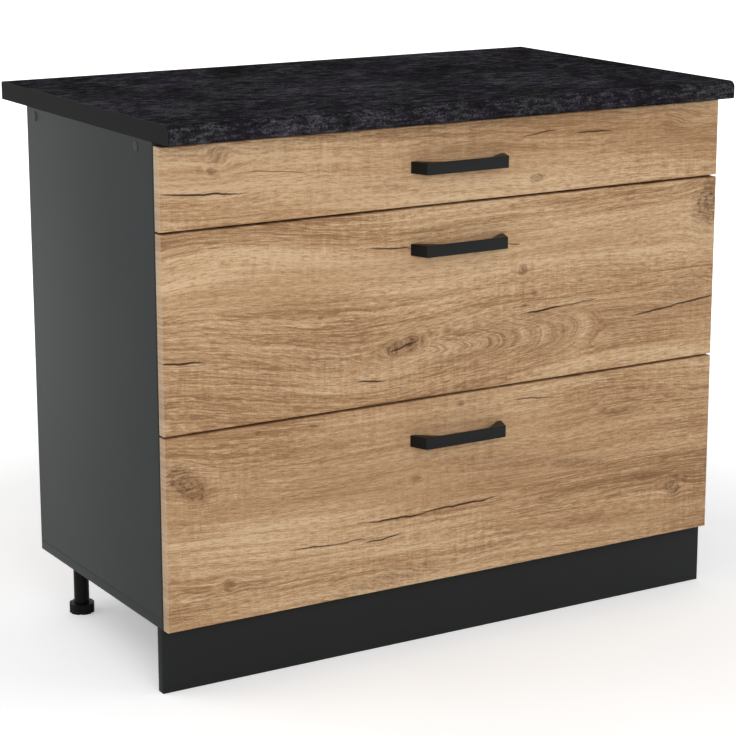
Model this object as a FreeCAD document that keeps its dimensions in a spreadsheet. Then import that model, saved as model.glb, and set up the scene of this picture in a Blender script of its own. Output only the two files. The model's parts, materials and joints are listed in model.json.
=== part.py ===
"""Kitchen base unit, 1 m wide, with one shallow drawer over two deep pull-outs.

The frame is millimetres, +Z up, X across the front, -Y towards the user.
Its origin is on the floor under the middle of the worktop.

A board carcass stands on four adjustable plastic legs behind a clipped plinth and
carries the worktop. Each drawer is a pair of folded steel sides round a board floor
and back. Its two rear rollers run inside the channels of the runners on the carcass,
and the ledges of its sides run over one fixed roller at the front of each runner.
"""

import FreeCAD, Part
import os
import re

import Sketcher

# name, millimetres, what it is
SIZES = [
    ("cabinet_width", 1000, "carcass, worktop and plinth, end to end"),
    ("worktop_depth", 600, "front to back"),
    ("overall_height", 850, "floor to the top of the worktop"),
    ("worktop_thick", 28, "worktop board with its laminate"),
    ("worktop_top_radius", 10, "postformed upper front edge"),
    ("worktop_under_radius", 3, "postformed lower front edge"),
    ("end_strip", 1, "plastic strip glued to each end of the worktop"),
    ("worktop_front_over", 54, "worktop past the carcass at the front"),
    ("plinth_height", 100, "floor to the underside of the carcass"),
    ("plinth_board", 16, "plinth thickness"),
    ("plinth_setback", 1, "plinth face behind the carcass front"),
    ("carcass_depth", 446, "side panel, front to back"),
    ("board", 16, "carcass and drawer board"),
    ("rail_drop", 4, "worktop underside to the top rails"),
    ("front_rail_depth", 100, "front top rail, front to back"),
    ("rear_rail_depth", 64, "rear top rail, front to back"),
    ("back_thick", 3, "hardboard back"),
    ("back_inset", 10, "rear edges to the back panel"),
    ("groove_depth", 8, "groove for the back panel"),
    ("groove_play", 0.2, "groove wider than the back panel"),
    ("groove_end_gap", 0.5, "back panel's edge to the groove's floor"),
    ("front_board", 16, "drawer front thickness"),
    ("front_gap", 2, "carcass to the back of a drawer front"),
    ("front_side_gap", 1.5, "drawer front's end inside the carcass side"),
    ("front_joint", 3.5, "gap between two drawer fronts"),
    ("top_reveal", 6, "top drawer front to the worktop"),
    ("deep_front_height", 294, "each of the two deep drawer fronts"),
    ("front_edge_radius", 2, "rounded edges of a drawer front's face"),
    ("handle_length", 168, "bow handle at the drawer front"),
    ("handle_face_length", 145, "bow handle at its outer face"),
    ("handle_hollow_length", 88, "flat stretch behind the handle's bar"),
    ("handle_root", 8, "foot of the bow, along X"),
    ("handle_projection", 30, "drawer front to the handle's outer face"),
    ("handle_bar", 5, "thickness of the handle's bar"),
    ("handle_height", 18, "handle, up and down"),
    ("handle_drop", 62, "drawer front's top edge to the handle's middle"),
    ("handle_corner", 3.5, "rounded outer corners of the bow"),
    ("steel", 1.2, "sheet of the runners and drawer sides"),
    ("roller_radius", 9.5, "nylon runner roller"),
    ("roller_width", 6, "nylon runner roller, along its axle"),
    ("axle_radius", 2.5, "roller axle, riveted into the sheet"),
    ("axle_play", 0.05, "roller bore over its axle, on the radius"),
    ("roller_cap", 1.5, "closed outer end of a roller, snapped on its axle"),
    ("axle_end_gap", 0.2, "axle's tip to the roller's closed end"),
    ("run_gap", 0.2, "roller to the ledge or flange that it runs on"),
    ("channel_play", 1.5, "runner channel taller than its roller"),
    ("ledge_clear", 1.5, "drawer ledge above the runner's channel"),
    ("runner_width", 11, "runner flanges, from the cabinet side"),
    ("runner_setback", 2, "carcass front to the runner's front end"),
    ("runner_roller_inset", 13, "runner's front end to its roller"),
    ("runner_roller_in", 1.8, "cabinet side to the runner's roller"),
    ("runner_mouth", 27, "upper flange cut back for the front roller"),
    ("stop_reach", 6, "width of the runner's stop tab"),
    ("stop_gap", 0.3, "roller to the stop tab at full travel"),
    ("drawer_rear_clear", 34.8, "drawer to the back panel when closed"),
    ("travel_loss", 90, "drawer length that stays in at full travel"),
    ("drawer_roller_inset", 14, "drawer's rear end to its roller"),
    ("drawer_roller_in", 4.2, "cabinet side to the drawer's roller"),
    ("wall_in", 13, "cabinet side to the drawer's steel side"),
    ("side_height", 86, "drawer's steel side"),
    ("floor_flange", 20, "flange of the steel side under the drawer floor"),
    ("top_return", 8, "steel side folded outwards at its top"),
    ("top_lip", 6, "steel side folded down at its top"),
    ("rear_flange", 15, "steel side folded inwards behind the drawer back"),
    ("ledge_in", 3, "cabinet side to the drawer's running ledge"),
    ("ledge_lip", 5, "stiffening lip of the running ledge"),
    ("runner_lift", 30, "deep drawer front's lower edge to the runner"),
    ("rail_clear", 8, "top drawer's steel side to the top rail"),
    ("fit_gap", 0.3, "drawer floor and back to each steel side"),
    ("deep_back_height", 197, "deep drawer's back above the runner"),
    ("railing_radius", 5, "railing rod of a deep drawer"),
    ("railing_height", 165, "railing rod above the runner"),
    ("railing_in", 24, "cabinet side to the railing rod"),
    ("railing_socket", 15, "square socket at each end of a railing rod"),
    ("railing_socket_length", 8, "square socket, along the rod"),
    ("bracket_thick", 2, "angle bracket sheet"),
    ("front_bracket_width", 20, "drawer front bracket, across"),
    ("front_bracket_reach", 30, "drawer front bracket, along the side"),
    ("front_bracket_low", 22, "drawer front bracket above the runner"),
    ("front_bracket_high", 78, "drawer front bracket above the runner"),
    ("cap_radius", 8, "cover cap over a carcass screw"),
    ("cap_height", 1.5, "cover cap outside the side panel"),
    ("angle_leg", 25, "worktop angle bracket, each leg"),
    ("angle_width", 20, "worktop angle bracket, front to back"),
    ("angle_front", 140, "carcass front to the front angle brackets"),
    ("angle_rear", 106, "carcass rear to the rear angle brackets"),
    ("bumper_width", 10, "square soft bumper on the carcass front edge"),
    ("bumper_thick", 1.8, "soft bumper"),
    ("bumper_drop", 25, "drawer front's top edge to its bumper"),
    ("leg_side_inset", 45, "carcass end to a leg's axis"),
    ("leg_front_inset", 57, "carcass front to a front leg's axis"),
    ("leg_rear_inset", 52, "carcass rear to a rear leg's axis"),
    ("leg_tube_radius", 12.25, "leg tube"),
    ("leg_plate", 50, "leg mounting plate, across its flats"),
    ("leg_plate_corner", 12, "corners cut off the leg mounting plate"),
    ("leg_plate_thick", 4, "leg mounting plate"),
    ("leg_rib_drop", 22, "ribs under the leg's plate"),
    ("leg_rib_thick", 2, "ribs under the leg's plate"),
    ("foot_radius", 20, "levelling foot"),
    ("foot_height", 16, "levelling foot"),
    ("foot_gap", 0.3, "levelling foot to the leg's tube"),
    ("foot_notch_depth", 2, "grip notches round the foot's rim"),
    ("foot_notch_width", 4, "grip notches round the foot's rim"),
    ("spindle_radius", 5, "levelling foot's spindle"),
    ("spindle_length", 45, "levelling foot's spindle above the foot"),
    ("spindle_play", 0.08, "spindle in the leg, on the radius"),
    ("spindle_bore_length", 60, "bore of the leg's tube"),
    ("clip_height", 20, "plinth clip, up and down"),
    ("clip_plate", 3, "plinth clip's plate on the plinth"),
    ("clip_width", 40, "plinth clip's plate, across"),
    ("clip_neck", 8, "neck between the clip's plate and its fork"),
    ("clip_wall", 2.5, "fork of the plinth clip"),
    ("clip_play", 0.15, "fork round the leg's tube, on the radius"),
]

LEG_RIBS = 4
FOOT_NOTCHES = 6

# Places and sizes that follow from the ones above.
DERIVED = {
    "inner_half": "cabinet_width / 2 - board",
    "carcass_front": "worktop_front_over - worktop_depth / 2",
    "carcass_rear": "carcass_front + carcass_depth",
    "worktop_under": "overall_height - worktop_thick",
    "floor_top": "plinth_height + board",
    "rail_top": "worktop_under - rail_drop",
    "rail_under": "rail_top - board",
    "rail_middle": "rail_top - board / 2",
    "worktop_end": "cabinet_width / 2 - end_strip",
    "groove_rear": "carcass_rear - back_inset",
    "groove_front": "groove_rear - back_thick - groove_play",
    "plinth_front": "carcass_front + plinth_setback",
    "plinth_rear": "plinth_front + plinth_board",
    "front_back": "carcass_front - front_gap",
    "front_face": "front_back - front_board",
    "low_front": "plinth_height",
    "middle_front": "low_front + deep_front_height + front_joint",
    "top_front": "middle_front + deep_front_height + front_joint",
    "top_front_end": "worktop_under - top_reveal",
    "drawer_length": "groove_front - drawer_rear_clear - front_back",
    "drawer_rear": "front_back + drawer_length",
    "travel": "drawer_length - travel_loss",
    "runner_length": "drawer_length - runner_setback",
    "channel": "2 * roller_radius + channel_play",
    "ledge": "2 * steel + channel + ledge_clear",
    "runner_roller_height": "ledge - run_gap - roller_radius",
    "drawer_roller_height": "steel + run_gap + roller_radius",
    "drawer_roller_place": "drawer_length - drawer_roller_inset",
    "stop_place": "drawer_roller_place - travel - roller_radius - stop_gap - front_gap - runner_setback",
    "wall_out": "wall_in + steel",
    "drawer_half": "inner_half - wall_out - fit_gap",
    "low_base": "low_front + runner_lift",
    "middle_base": "middle_front + runner_lift",
    "top_base": "rail_under - rail_clear - side_height",
    "leg_side": "cabinet_width / 2 - leg_side_inset",
    "leg_front": "carcass_front + leg_front_inset",
    "leg_rear": "carcass_rear - leg_rear_inset",
}

# Each drawer: its runner's height, its front's lower and upper edge, and its back's height.
DRAWERS = {
    "top": ("top_base", "top_front", "top_front_end", "side_height"),
    "middle": ("middle_base", "middle_front", "middle_front + deep_front_height", "deep_back_height"),
    "low": ("low_base", "low_front", "low_front + deep_front_height", "deep_back_height"),
}

doc = FreeCAD.newDocument("DrawerBaseUnit")
sheet = doc.addObject("Spreadsheet::Sheet", "Sizes")
nodes = []


# ---- sizes ----------------------------------------------------------------


def fill_sheet():
    """One row for each driving size: its name, its value under that alias, and a note."""
    for row, (name, value, note) in enumerate(SIZES, start=1):
        sheet.set(f"A{row}", name)
        sheet.set(f"B{row}", str(value))
        sheet.setAlias(f"B{row}", name)
        sheet.set(f"C{row}", note)
    doc.recompute()


CELLS = {name for name, _, _ in SIZES}


def formula(rule):
    """A rule in words as an expression on the sheet, with derived names opened up."""

    def word(match):
        name = match.group()
        if name in DERIVED:
            return f"({formula(DERIVED[name])})"
        if name not in CELLS:
            raise ValueError(f"no size is called {name}")
        return f"Sizes.{name}"

    return re.sub(r"[a-z][a-z_]*", word, str(rule))


def number(rule):
    return float(sheet.evalExpression(formula(rule)))


# ---- features -------------------------------------------------------------

# The normal of a sketch on the XZ plane points along -Y.
NORMAL = {"XY": 1, "YZ": 1, "XZ": -1}


def new_body(label, x=0, y=0, z=0):
    """An empty body whose own origin stands at the given place."""
    body = doc.addObject("PartDesign::Body", label)
    body.Label = label
    for axis, rule in zip("xyz", (x, y, z)):
        body.setExpression(f"Placement.Base.{axis}", formula(rule))
    return body


def origin_feature(body, role):
    return next(item for item in body.Origin.OriginFeatures if item.Role == role)


def bind(sketch, kind, geometry, point, rule):
    """Holds one coordinate of a point, or one radius, to its rule."""
    if kind == "Radius":
        constraint = Sketcher.Constraint("Radius", geometry, number(rule))
    else:
        constraint = Sketcher.Constraint(kind, -1, 1, geometry, point, number(rule))
    index = sketch.addConstraint(constraint)
    sketch.setExpression(f"Constraints[{index}]", formula(rule))


def draw_loop(sketch, corners):
    """A closed outline of straight lines through corners given as (across, up)."""
    first = sketch.GeometryCount
    places = [FreeCAD.Vector(number(a), number(b), 0) for a, b in corners]
    count = len(places)
    for index, place in enumerate(places):
        sketch.addGeometry(Part.LineSegment(place, places[(index + 1) % count]), False)
    for index, (across, up) in enumerate(corners):
        line, after = first + index, first + (index + 1) % count
        sketch.addConstraint(Sketcher.Constraint("Coincident", line, 2, after, 1))
        bind(sketch, "DistanceX", line, 1, across)
        bind(sketch, "DistanceY", line, 1, up)


def draw_circle(sketch, across, up, radius):
    index = sketch.GeometryCount
    centre = FreeCAD.Vector(number(across), number(up), 0)
    sketch.addGeometry(Part.Circle(centre, FreeCAD.Vector(0, 0, 1), number(radius)), False)
    bind(sketch, "DistanceX", index, 3, across)
    bind(sketch, "DistanceY", index, 3, up)
    bind(sketch, "Radius", index, 3, radius)


def add_sketch(body, name, plane, height, shapes):
    """A sketch at a height above one of the body's own planes.

    A shape is a list of corners, or a circle as a tuple (across, up, radius).
    """
    sketch = body.newObject("Sketcher::SketchObject", f"{body.Name}_{name}_outline")
    sketch.AttachmentSupport = [(origin_feature(body, f"{plane}_Plane"), "")]
    sketch.MapMode = "FlatFace"
    sketch.setExpression("AttachmentOffset.Base.z", formula(f"{NORMAL[plane]} * ({height})"))
    for shape in shapes:
        if isinstance(shape, tuple):
            draw_circle(sketch, *shape)
        else:
            draw_loop(sketch, shape)
    return sketch


def add_pad(body, name, plane, shapes, low, high):
    """Fills the shapes from low to high along the axis across the plane."""
    sketch = add_sketch(body, name, plane, low, shapes)
    pad = body.newObject("PartDesign::Pad", f"{body.Name}_{name}")
    pad.Profile = sketch
    pad.setExpression("Length", formula(f"({high}) - ({low})"))
    pad.Reversed = NORMAL[plane] < 0
    doc.recompute()
    return pad


def add_pocket(body, name, plane, shapes, low, high):
    """Cuts the shapes out from low to high along the axis across the plane."""
    before = body.Shape.Volume
    sketch = add_sketch(body, name, plane, low, shapes)
    pocket = body.newObject("PartDesign::Pocket", f"{body.Name}_{name}")
    pocket.Profile = sketch
    pocket.setExpression("Length", formula(f"({high}) - ({low})"))
    pocket.Reversed = NORMAL[plane] > 0
    doc.recompute()
    if body.Shape.Volume > before - 0.01:
        raise ValueError(f"{body.Label}: {name} cuts nothing")
    return pocket


def add_turns(body, name, feature, count):
    """Repeats a feature evenly round the body's own Z axis."""
    pattern = body.newObject("PartDesign::PolarPattern", f"{body.Name}_{name}")
    pattern.Originals = [feature]
    pattern.Axis = (origin_feature(body, "Z_Axis"), [""])
    pattern.Angle = 360
    pattern.Occurrences = count
    body.Tip = pattern
    doc.recompute()
    return pattern


def add_fillet(body, name, radius, wanted):
    """Rounds the edges whose middle point, in the body's own frame, passes the test."""
    base = body.Tip
    edges = base.Shape.Edges
    names = [f"Edge{n}" for n, edge in enumerate(edges, start=1) if wanted(edge.CenterOfMass)]
    if not names:
        raise ValueError(f"{body.Label}: {name} finds no edge")
    fillet = body.newObject("PartDesign::Fillet", f"{body.Name}_{name}")
    fillet.Base = (base, names)
    fillet.setExpression("Radius", formula(radius))
    doc.recompute()
    return fillet


def rectangle(left, low, right, high):
    return [(left, low), (right, low), (right, high), (left, high)]


def near(value, rule):
    return abs(value - number(rule)) < 0.01


# ---- nodes ----------------------------------------------------------------


def keep(label, shape_object):
    """Names an object as one piece of the cabinet."""
    shape_object.Label = label
    nodes.append(shape_object)
    return shape_object


def mirror_of(left, name):
    """The right-hand twin of a left-hand piece."""
    twin = doc.addObject("Part::Mirroring", name)
    twin.Source = left
    twin.Base = (0, 0, 0)
    twin.Normal = (1, 0, 0)
    doc.recompute()
    return twin


def group_of(label, members):
    """Like pieces that share one node as separate solids."""
    group = doc.addObject("Part::Compound", label)
    group.Links = members
    doc.recompute()
    return keep(label, group)


def pair_of(label, left):
    """A left-hand piece and its twin in one node."""
    left.Label = f"{label}_left_half"
    return group_of(label, [left, mirror_of(left, f"{label}_right_half")])


# ---- carcass --------------------------------------------------------------


def cap_spots():
    """Over the ends of the two top rails, where their screws enter, as (y, z)."""
    return [
        ("carcass_front + front_rail_depth / 2", "rail_middle"),
        ("carcass_rear - rear_rail_depth / 2", "rail_middle"),
    ]


def make_sides():
    """Side panels that stand on the bottom panel, grooved inside for the back."""
    side = new_body("side_left", x="-cabinet_width / 2")
    outline = rectangle("carcass_front", "floor_top", "carcass_rear", "worktop_under")
    add_pad(side, "board", "YZ", [outline], "0", "board")
    groove = rectangle("groove_front", "floor_top", "groove_rear", "worktop_under")
    add_pocket(side, "back_groove", "YZ", [groove], "board - groove_depth", "board")
    keep("side_left", side)
    keep("side_right", mirror_of(side, "side_right"))


def make_bottom_panel():
    """Bottom panel, which runs under both sides and is grooved for the back."""
    panel = new_body("bottom_panel")
    half = "cabinet_width / 2"
    outline = rectangle(f"-{half}", "carcass_front", half, "carcass_rear")
    add_pad(panel, "board", "XY", [outline], "plinth_height", "floor_top")
    end = "inner_half + groove_depth"
    groove = rectangle(f"-({end})", "groove_front", end, "groove_rear")
    add_pocket(panel, "back_groove", "XY", [groove], "floor_top - groove_depth", "floor_top")
    keep("bottom_panel", panel)


def make_rails():
    """Front and rear top rails between the sides; the rear one is grooved for the back."""
    places = {
        "front_rail": ("carcass_front", "carcass_front + front_rail_depth"),
        "rear_rail": ("carcass_rear - rear_rail_depth", "carcass_rear"),
    }
    for label, (front, rear) in places.items():
        rail = new_body(label)
        outline = rectangle("-inner_half", front, "inner_half", rear)
        add_pad(rail, "board", "XY", [outline], "rail_under", "rail_top")
        if label == "rear_rail":
            groove = rectangle("-inner_half", "groove_front", "inner_half", "groove_rear")
            add_pocket(rail, "back_groove", "XY", [groove], "rail_under", "rail_under + groove_depth")
        keep(label, rail)


def make_back_panel():
    """Hardboard back, held in grooves all round."""
    back = new_body("back_panel", y="groove_rear - groove_play / 2")
    reach = "groove_depth - groove_end_gap"
    outline = rectangle(
        f"-(inner_half + {reach})",
        f"floor_top - ({reach})",
        f"inner_half + {reach}",
        f"rail_under + {reach}",
    )
    add_pad(back, "board", "XZ", [outline], "-back_thick", "0")
    keep("back_panel", back)


def make_cover_caps():
    """Round caps on the side panels, over the screws of the top rails."""
    caps = new_body("cover_caps_left_half")
    face = "-cabinet_width / 2"
    discs = [(y, z, "cap_radius") for y, z in cap_spots()]
    add_pad(caps, "discs", "YZ", discs, f"{face} - cap_height", face)
    pair_of("cover_caps", caps)


def make_worktop():
    """Worktop with a rounded front edge, and a plastic strip of its section on each end."""
    face = "-cabinet_width / 2"
    spans = {"worktop": ("-worktop_end", "worktop_end"), "worktop_strip_left": (face, "-worktop_end")}
    front, rear = "-worktop_depth / 2", "worktop_depth / 2"
    edges = {"worktop_top_radius": "overall_height", "worktop_under_radius": "worktop_under"}
    for label, (left, right) in spans.items():
        slab = new_body(label)
        outline = rectangle(front, "worktop_under", rear, "overall_height")
        add_pad(slab, "slab", "YZ", [outline], left, right)
        for radius, height in edges.items():
            add_fillet(slab, radius, radius, lambda middle: on_front_edge(middle, front, height, left, right))
        keep(label, slab)
    keep("worktop_strip_right", mirror_of(slab, "worktop_strip_right"))


def on_front_edge(middle, front, height, left, right):
    """Whether an edge with this middle runs along the worktop's front at this height."""
    across = near(middle.x, f"({left} + {right}) / 2")
    return across and near(middle.y, front) and near(middle.z, height)


def make_worktop_brackets():
    """Steel angles in the top of the carcass that hold the worktop down."""
    angles = new_body("worktop_brackets_left_half", x="-inner_half", z="worktop_under")
    outline = [
        ("0", "0"),
        ("angle_leg", "0"),
        ("angle_leg", "-bracket_thick"),
        ("bracket_thick", "-bracket_thick"),
        ("bracket_thick", "-angle_leg"),
        ("0", "-angle_leg"),
    ]
    places = {"front": "carcass_front + angle_front", "rear": "carcass_rear - angle_rear"}
    for name, middle in places.items():
        add_pad(angles, name, "XZ", [outline], f"{middle} - angle_width / 2", f"{middle} + angle_width / 2")
    pair_of("worktop_brackets", angles)


def make_bumpers():
    """Soft pads on the front edges of the sides, one behind each end of each drawer front."""
    pads = new_body("bumpers_left_half")
    outlines = []
    left = "board / 2 - cabinet_width / 2 - bumper_width / 2"
    for _, _, front_end, _ in DRAWERS.values():
        low = f"{front_end} - bumper_drop"
        outlines.append(rectangle(left, low, f"{left} + bumper_width", f"{low} + bumper_width"))
    add_pad(pads, "pads", "XZ", outlines, "carcass_front - bumper_thick", "carcass_front")
    pair_of("bumpers", pads)


# ---- plinth and legs ------------------------------------------------------


def make_plinth():
    """Plinth board under the front of the carcass."""
    plinth = new_body("plinth_panel")
    outline = rectangle("-cabinet_width / 2", "plinth_front", "cabinet_width / 2", "plinth_rear")
    add_pad(plinth, "board", "XY", [outline], "0", "plinth_height")
    keep("plinth_panel", plinth)


def make_plinth_clips():
    """Clips behind the plinth, each with a fork snapped round a front leg."""
    clip = new_body("plinth_clips_left_half", x="-leg_side", y="leg_front", z="plinth_height / 2")
    low, high = "-clip_height / 2", "clip_height / 2"
    back = "plinth_rear - leg_front"
    inner = "leg_tube_radius + clip_play"
    outer = f"{inner} + clip_wall"
    ring = [("0", "0", outer), ("0", "0", inner)]
    plate = rectangle("-clip_width / 2", back, "clip_width / 2", f"{back} + clip_plate")
    neck = rectangle("-clip_neck / 2", f"{back} + clip_plate", "clip_neck / 2", f"-({inner} + clip_wall / 2)")
    mouth = [("0", "0"), (outer, outer), (outer, f"2 * ({outer})"), (f"-({outer})", f"2 * ({outer})")]
    mouth.append((f"-({outer})", outer))
    add_pad(clip, "fork", "XY", [ring[0]], low, high)
    add_pad(clip, "neck", "XY", [neck], low, high)
    add_pad(clip, "plate", "XY", [plate], low, high)
    add_pocket(clip, "bore", "XY", [ring[1]], low, high)
    add_pocket(clip, "mouth", "XY", [mouth], low, high)
    pair_of("plinth_clips", clip)


def make_leg_socket(name, place):
    """Leg tube with ribs under the plate that holds it to the bottom panel."""
    leg = new_body(name, x="-leg_side", y=place, z="plinth_height")
    end = "foot_height + foot_gap - plinth_height"
    half = "leg_plate / 2"
    short = f"({half} - leg_plate_corner)"
    quarter = [(half, short), (short, half)]
    rear = quarter + [(f"-{x}", y) for x, y in reversed(quarter)]
    plate = rear + [(x, f"-{y}") for x, y in reversed(rear)]
    add_pad(leg, "plate", "XY", [plate], "-leg_plate_thick", "0")
    add_pad(leg, "tube", "XY", [("0", "0", "leg_tube_radius")], end, "-leg_plate_thick")
    rib = [
        ("leg_tube_radius - leg_rib_thick", "-leg_plate_thick"),
        (f"{half} - leg_rib_thick", "-leg_plate_thick"),
        ("leg_tube_radius - leg_rib_thick", "-leg_plate_thick - leg_rib_drop"),
    ]
    ribs = add_pad(leg, "rib", "XZ", [rib], "-leg_rib_thick / 2", "leg_rib_thick / 2")
    add_turns(leg, "ribs", ribs, LEG_RIBS)
    bore = [("0", "0", "spindle_radius + spindle_play")]
    add_pocket(leg, "bore", "XY", bore, end, f"{end} + spindle_bore_length")
    keep(f"{name}_left", leg)
    keep(f"{name}_right", mirror_of(leg, f"{name}_right"))


def make_foot(name, place):
    """Levelling foot with grip notches round its rim and a spindle up into the leg."""
    foot = new_body(name, x="-leg_side", y=place)
    rise = "foot_height + spindle_length"
    add_pad(foot, "base", "XY", [("0", "0", "foot_radius")], "0", "foot_height")
    rim = rectangle(
        "foot_radius - foot_notch_depth",
        "-foot_notch_width / 2",
        "foot_radius + foot_notch_depth",
        "foot_notch_width / 2",
    )
    notch = add_pocket(foot, "notch", "XY", [rim], "0", "foot_height")
    add_turns(foot, "notches", notch, FOOT_NOTCHES)
    add_pad(foot, "spindle", "XY", [("0", "0", "spindle_radius")], "foot_height", rise)
    keep(f"{name}_left", foot)
    keep(f"{name}_right", mirror_of(foot, f"{name}_right"))


def make_legs():
    for name, place in (("front", "leg_front"), ("rear", "leg_rear")):
        make_leg_socket(f"leg_{name}", place)
        make_foot(f"foot_{name}", place)


# ---- runners --------------------------------------------------------------


def make_runner(level, base):
    """Channel on the cabinet side with a roller axle in front and a stop tab inside."""
    name = f"runner_{level}"
    runner = new_body(f"{name}_left", x="-inner_half", y="carcass_front + runner_setback", z=base)
    shoulder = "steel + channel"
    crown = "2 * steel + channel"
    section = [
        ("0", "0"),
        ("runner_width", "0"),
        ("runner_width", "steel"),
        ("steel", "steel"),
        ("steel", shoulder),
        ("runner_width", shoulder),
        ("runner_width", crown),
        ("0", crown),
    ]
    add_pad(runner, "channel", "XZ", [section], "0", "runner_length")
    mouth = rectangle("steel", "0", "runner_width", "runner_mouth")
    add_pocket(runner, "mouth", "XY", [mouth], shoulder, crown)

    left = "drawer_roller_in"
    tab = rectangle(left, "stop_place - steel", f"{left} + stop_reach", "stop_place")
    add_pad(runner, "stop_tab", "XY", [tab], "drawer_roller_height", shoulder)

    spot = ("runner_roller_inset", "runner_roller_height")
    tip = "runner_roller_in + roller_width - roller_cap - axle_end_gap"
    add_pad(runner, "axle", "YZ", [(*spot, "axle_radius")], "steel", tip)
    keep(f"{name}_left", runner)
    keep(f"{name}_right", mirror_of(runner, f"{name}_right"))


def make_rollers(label, left, open_side, along, height):
    """A left and a right nylon roller on one line across the cabinet, each bored from one side."""
    roller = new_body(f"{label}_left_half", x="-inner_half", y=along, z=height)
    right = f"{left} + roller_width"
    bore = (left, f"{right} - roller_cap")
    if open_side == "right":
        bore = (f"{left} + roller_cap", right)
    add_pad(roller, "wheel", "YZ", [("0", "0", "roller_radius")], left, right)
    add_pocket(roller, "bore", "YZ", [("0", "0", "axle_radius + axle_play")], *bore)
    pair_of(label, roller)


# ---- drawers --------------------------------------------------------------


def make_front(level, low, high):
    """Drawer front with the edges of its face rounded."""
    front = new_body(f"front_{level}", y="front_back")
    half = "cabinet_width / 2 - front_side_gap"
    face = "-front_board"
    add_pad(front, "board", "XZ", [rectangle(f"-({half})", low, half, high)], face, "0")
    add_fillet(front, "edges", "front_edge_radius", lambda middle: near(middle.y, face))
    keep(f"front_{level}", front)


def make_handle(level, high):
    """Die-cast bow with slanting feet and rounded outer corners."""
    handle = new_body(f"handle_{level}", y="front_face", z=f"{high} - handle_drop")
    foot, tip = "handle_length / 2", "handle_face_length / 2"
    hollow = "handle_hollow_length / 2"
    depth = "handle_bar - handle_projection"
    right = [
        (f"{foot} - handle_root", "0"),
        (foot, "0"),
        (tip, "-handle_projection"),
    ]
    left = [(f"-({x})", y) for x, y in reversed(right)]
    outline = right + left + [(f"-({hollow})", depth), (hollow, depth)]
    middle = "handle_height / 2"
    add_pad(handle, "bow", "XY", [outline], f"-{middle}", middle)

    def at_corner(point):
        return near(abs(point.x), tip) and near(point.y, "-handle_projection")

    add_fillet(handle, "corners", "handle_corner", at_corner)
    keep(f"handle_{level}", handle)


def make_drawer_side(level, base):
    """Folded steel side: floor flange, wall, top return, running ledge and roller axle."""
    name = f"drawer_side_{level}"
    side = new_body(f"{name}_left", x="-inner_half", y="front_back", z=base)
    wall = [
        ("wall_in", "0"),
        ("wall_out + floor_flange", "0"),
        ("wall_out + floor_flange", "steel"),
        ("wall_out", "steel"),
        ("wall_out", "side_height"),
        ("wall_in - top_return", "side_height"),
        ("wall_in - top_return", "side_height - top_lip"),
        ("wall_in - top_return + steel", "side_height - top_lip"),
        ("wall_in - top_return + steel", "side_height - steel"),
        ("wall_in", "side_height - steel"),
    ]
    shelf = [
        ("ledge_in", "ledge"),
        ("wall_in", "ledge"),
        ("wall_in", "ledge + steel"),
        ("ledge_in + steel", "ledge + steel"),
        ("ledge_in + steel", "ledge + ledge_lip"),
        ("ledge_in", "ledge + ledge_lip"),
    ]
    add_pad(side, "wall", "XZ", [wall], "0", "drawer_length")
    flange = rectangle("wall_out", "steel + board", "wall_out + rear_flange", "side_height - top_lip")
    add_pad(side, "shelf", "XZ", [shelf], "0", "drawer_length")
    add_pad(side, "rear_flange", "XZ", [flange], "drawer_length - steel", "drawer_length")

    spot = ("drawer_roller_place", "drawer_roller_height")
    tip = "drawer_roller_in + roller_cap + axle_end_gap"
    add_pad(side, "axle", "YZ", [(*spot, "axle_radius")], tip, "wall_in")

    keep(f"{name}_left", side)
    keep(f"{name}_right", mirror_of(side, f"{name}_right"))


def make_drawer_floor(level, base):
    """Board that lies on the inner flanges of the two steel sides."""
    floor = new_body(f"drawer_floor_{level}")
    outline = rectangle("-drawer_half", "front_back", "drawer_half", "drawer_rear")
    under = f"{base} + steel"
    add_pad(floor, "board", "XY", [outline], under, f"{under} + board")
    keep(f"drawer_floor_{level}", floor)


def make_drawer_back(level, base, height):
    """Board across the drawer, standing on its floor against the rear flanges."""
    back = new_body(f"drawer_back_{level}")
    rear = "drawer_rear - steel"
    outline = rectangle("-drawer_half", f"{rear} - board", "drawer_half", rear)
    add_pad(back, "board", "XY", [outline], f"{base} + steel + board", f"{base} + {height}")
    keep(f"drawer_back_{level}", back)


def make_front_brackets(level, base):
    """Angle brackets that join the drawer's steel sides to its front."""
    bracket = new_body(f"front_brackets_{level}_left_half", x="wall_out - inner_half", y="front_back", z=base)
    outline = [
        ("0", "0"),
        ("front_bracket_width", "0"),
        ("front_bracket_width", "bracket_thick"),
        ("bracket_thick", "bracket_thick"),
        ("bracket_thick", "front_bracket_reach"),
        ("0", "front_bracket_reach"),
    ]
    add_pad(bracket, "angle", "XY", [outline], "front_bracket_low", "front_bracket_high")
    pair_of(f"front_brackets_{level}", bracket)


def make_railing(level, base):
    """Rod between a deep drawer's front and back, with a square socket at each end."""
    name = f"railing_{level}"
    rod = new_body(
        f"{name}_left",
        x="railing_in - inner_half",
        y="front_back",
        z=f"{base} + railing_height",
    )
    length = "drawer_length - steel - board"
    reach = "railing_socket_length"
    half = "railing_socket / 2"
    socket = [rectangle(f"-{half}", f"-{half}", half, half)]
    add_pad(rod, "rod", "XZ", [("0", "0", "railing_radius")], "0", length)
    add_pad(rod, "front_socket", "XZ", socket, "0", reach)
    add_pad(rod, "rear_socket", "XZ", socket, f"{length} - {reach}", length)
    keep(f"{name}_left", rod)
    keep(f"{name}_right", mirror_of(rod, f"{name}_right"))


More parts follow.
